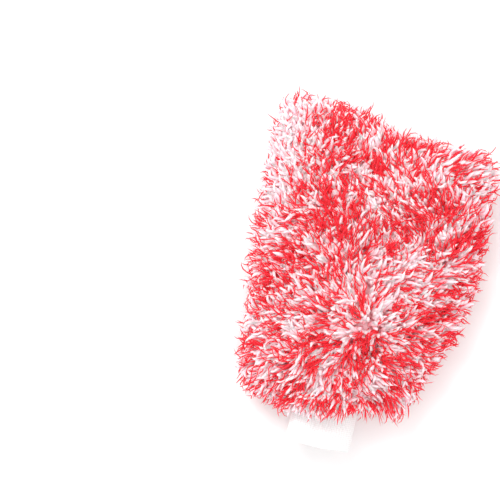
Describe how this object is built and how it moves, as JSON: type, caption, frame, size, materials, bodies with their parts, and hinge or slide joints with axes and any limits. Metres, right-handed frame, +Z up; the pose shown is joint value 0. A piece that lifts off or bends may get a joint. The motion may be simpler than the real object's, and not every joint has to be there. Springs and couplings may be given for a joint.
{
  "type": "wash mitt",
  "caption": "Plush microfibre wash mitt with red and white tufted pile on both faces, a loose inner lining and a doubled rib-knit cuff.",
  "frame": {"origin": "on the table under the middle of the whole mitt, cuff included", "axes": "+Z up out of the front panel, +Y towards the finger end, +X across the palm"},
  "size_m": [0.208, 0.3002, 0.0618],
  "materials": {
    "red_yarn": "soft matt microfibre yarn with a slight sheen",
    "white_yarn": "fluffy matt microfibre yarn",
    "ground_knit": "matt warp knit that anchors the yarns",
    "lining_cloth": "plain woven polyester, slightly smooth",
    "rib_knit": "matt elastic rib knit",
    "thread": "spun polyester sewing thread"
  },
  "bodies": {
    "root": {"front_red_pile": "red_yarn", "front_white_pile": "white_yarn", "front_ground_fabric": "ground_knit", "front_lining": "lining_cloth", "back_red_pile": "red_yarn", "back_white_pile": "white_yarn", "back_ground_fabric": "ground_knit", "back_lining": "lining_cloth", "shell_seam_overlock": "thread", "lining_seam_overlock": "thread", "rib_cuff": "rib_knit", "cuff_join_overlock": "thread", "cuff_side_seam": "thread"}
  },
  "joints": []
}
